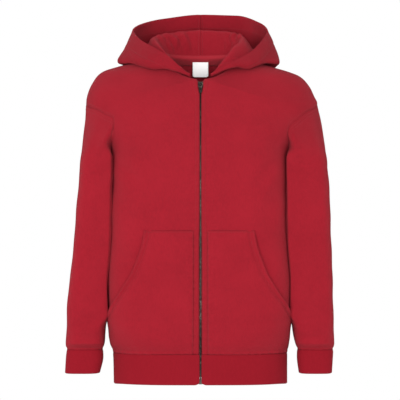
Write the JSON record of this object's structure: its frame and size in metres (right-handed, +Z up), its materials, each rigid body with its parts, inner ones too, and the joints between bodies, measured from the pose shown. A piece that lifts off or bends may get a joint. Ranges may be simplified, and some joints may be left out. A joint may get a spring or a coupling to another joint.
{
  "type": "kids zip hoodie",
  "caption": "Child's zip-front hooded sweatshirt with long cuffed sleeves, split front pockets and a rib hem, filled out as worn with the hood down.",
  "frame": {"origin": "midway between the two points where the shoulder seams meet the neckline, where the garment hangs on the wearer's shoulders", "axes": "+Z up, -Y out of the front, +X to the wearer's left"},
  "size_m": [0.4275, 0.2345, 0.5939],
  "materials": {
    "fleece": "matt brushed-back sweatshirt knit, red",
    "rib_knit": "matt 1x1 rib knit, a little darker red",
    "zip_tape": "flat woven tape, red",
    "neck_tape": "jersey binding tape, red",
    "label": "bare white woven label",
    "zip_metal": "dark antique metal"
  },
  "bodies": {
    "garment": {"front_left": "fleece", "front_right": "fleece", "back": "fleece", "sleeve_left": "fleece", "sleeve_right": "fleece", "cuff_left": "rib_knit", "cuff_right": "rib_knit", "hem_rib": "rib_knit", "hood_left": "fleece", "hood_right": "fleece", "pocket_left": "fleece", "pocket_right": "fleece", "zip_tape_left": "zip_tape", "zip_tape_right": "zip_tape", "zip_chain": "zip_metal", "zip_slider": "zip_metal", "zip_box": "zip_metal", "neck_tape": "neck_tape", "neck_label": "label"},
    "pull_tab": {"zip_pull": "zip_metal"}
  },
  "joints": [
    {"name": "pull_tab_swing", "type": "hinge", "parent": "garment", "child": "pull_tab", "pos_m": [0, -0.06892, -0.04923], "axis": [-1, 0, 0], "range_deg": [0, 150]}
  ]
}
